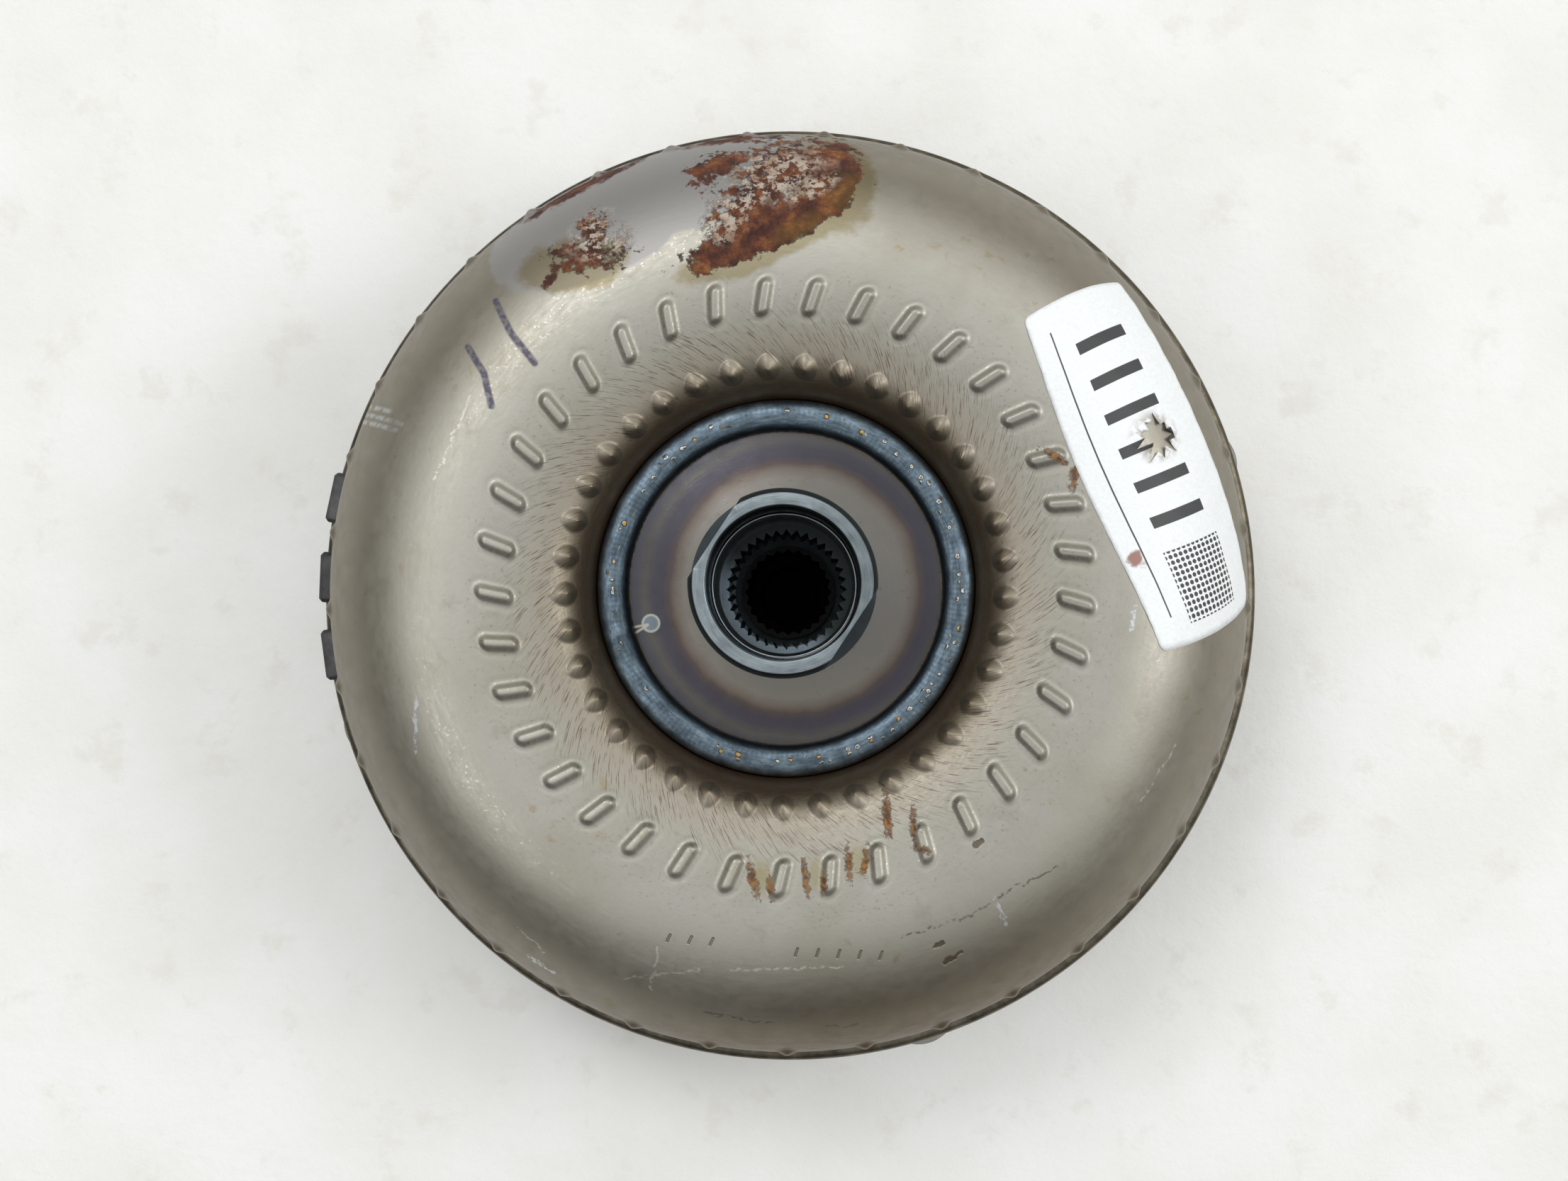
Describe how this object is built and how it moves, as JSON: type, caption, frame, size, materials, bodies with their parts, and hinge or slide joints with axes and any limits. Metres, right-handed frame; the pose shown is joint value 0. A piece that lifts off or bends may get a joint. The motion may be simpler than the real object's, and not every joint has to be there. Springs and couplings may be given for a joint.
{
  "type": "torque converter",
  "caption": "Lock-up torque converter: welded case with pump hub and drive bosses around an impeller, turbine, one-way stator, clutch piston and spring damper.",
  "frame": {"origin": "on the shaft axis, in the plane of the drive boss faces it rests on", "axes": "+Z along the shaft axis from the engine side towards the pump hub; +X and +Y in the plane of the drive boss faces"},
  "size_m": [0.25, 0.25, 0.1245],
  "materials": {
    "pressed_steel": "pressed, worn and lightly rusted",
    "blade_steel": "rolled sheet",
    "weld_steel": "blue-grey oxidised bead",
    "turned_steel": "turned and ground",
    "machined_steel": "machined",
    "bearing_steel": "hardened and ground",
    "spring_steel": "oil tempered",
    "cover_steel": "pressed, dark",
    "black_steel": "blackened",
    "bush_bronze": "dull bearing metal",
    "cast_aluminium": "die cast",
    "seal_plastic": "moulded",
    "clutch_lining": "paper friction lining",
    "label_paper": "white label paper, torn"
  },
  "bodies": {
    "housing": {"impeller_shell": "pressed_steel", "impeller_blade_ring": "blade_steel", "pump_hub": "turned_steel", "hub_bush": "bush_bronze", "hub_weld": "weld_steel", "seam_weld": "weld_steel", "front_cover": "cover_steel", "drive_boss_1": "machined_steel", "drive_boss_2": "machined_steel", "drive_boss_3": "machined_steel", "drive_boss_4": "machined_steel", "pilot_boss": "machined_steel", "balance_weight_1": "black_steel", "balance_weight_2": "black_steel", "balance_weight_3": "black_steel", "rear_bearing_race": "bearing_steel"},
    "turbine": {"turbine_shell": "blade_steel", "turbine_blade_ring": "blade_steel", "turbine_hub": "turned_steel", "turbine_rivet_1": "machined_steel", "turbine_rivet_2": "machined_steel", "turbine_rivet_3": "machined_steel", "turbine_rivet_4": "machined_steel", "driven_plate": "machined_steel", "piston_seal": "seal_plastic", "front_bearing_race": "bearing_steel", "middle_bearing_race": "bearing_steel"},
    "damper": {"damper_drive_plate": "machined_steel", "damper_rear_plate": "machined_steel", "stop_pin_1": "machined_steel", "stop_pin_2": "machined_steel", "stop_pin_3": "machined_steel", "stop_pin_4": "machined_steel", "damper_spring_1": "spring_steel", "damper_spring_2": "spring_steel", "damper_spring_3": "spring_steel", "damper_spring_4": "spring_steel"},
    "lockup": {"lockup_piston": "machined_steel", "friction_lining": "clutch_lining"},
    "stator_race": {"stator_inner_race": "turned_steel"},
    "stator": {"stator_outer_race": "turned_steel", "clutch_roller_1": "bearing_steel", "clutch_roller_2": "bearing_steel", "clutch_roller_3": "bearing_steel", "clutch_roller_4": "bearing_steel", "clutch_roller_5": "bearing_steel", "roller_spring_1": "spring_steel", "roller_spring_2": "spring_steel", "roller_spring_3": "spring_steel", "roller_spring_4": "spring_steel", "roller_spring_5": "spring_steel", "stator_wheel": "cast_aluminium", "stator_front_cap": "cast_aluminium", "stator_rear_cap": "cast_aluminium"},
    "front_cage": {"front_bearing_cage": "bearing_steel"},
    "middle_cage": {"middle_bearing_cage": "bearing_steel"},
    "rear_cage": {"rear_bearing_cage": "bearing_steel"}
  },
  "joints": [
    {"name": "turbine_spin", "type": "hinge", "parent": "housing", "child": "turbine", "pos_m": [0, 0, 0], "axis": [0, 0, 1], "continuous": true},
    {"name": "damper_turn", "type": "hinge", "parent": "turbine", "child": "damper", "pos_m": [0, 0, 0], "axis": [0, 0, 1], "range_deg": [-5, 5], "deforming": ["damper_spring_1", "damper_spring_2", "damper_spring_3", "damper_spring_4"]},
    {"name": "lockup_slide", "type": "slide", "parent": "damper", "child": "lockup", "axis": [0, 0, 1], "range_m": [-0.0009, 0]},
    {"name": "stator_race_spin", "type": "hinge", "parent": "housing", "child": "stator_race", "pos_m": [0, 0, 0], "axis": [0, 0, 1], "continuous": true},
    {"name": "stator_freewheel", "type": "hinge", "parent": "stator_race", "child": "stator", "pos_m": [0, 0, 0], "axis": [0, 0, 1], "continuous": true},
    {"name": "front_cage_spin", "type": "hinge", "parent": "housing", "child": "front_cage", "pos_m": [0, 0, 0], "axis": [0, 0, 1], "continuous": true},
    {"name": "middle_cage_spin", "type": "hinge", "parent": "housing", "child": "middle_cage", "pos_m": [0, 0, 0], "axis": [0, 0, 1], "continuous": true},
    {"name": "rear_cage_spin", "type": "hinge", "parent": "housing", "child": "rear_cage", "pos_m": [0, 0, 0], "axis": [0, 0, 1], "continuous": true}
  ],
  "couplings": [
    {"joint": "front_cage_spin", "follows": "turbine_spin", "ratio": 0.5},
    {"joint": "middle_cage_spin", "follows": "turbine_spin", "ratio": 0.5},
    {"joint": "rear_cage_spin", "follows": "stator_race_spin", "ratio": 0.5}
  ]
}
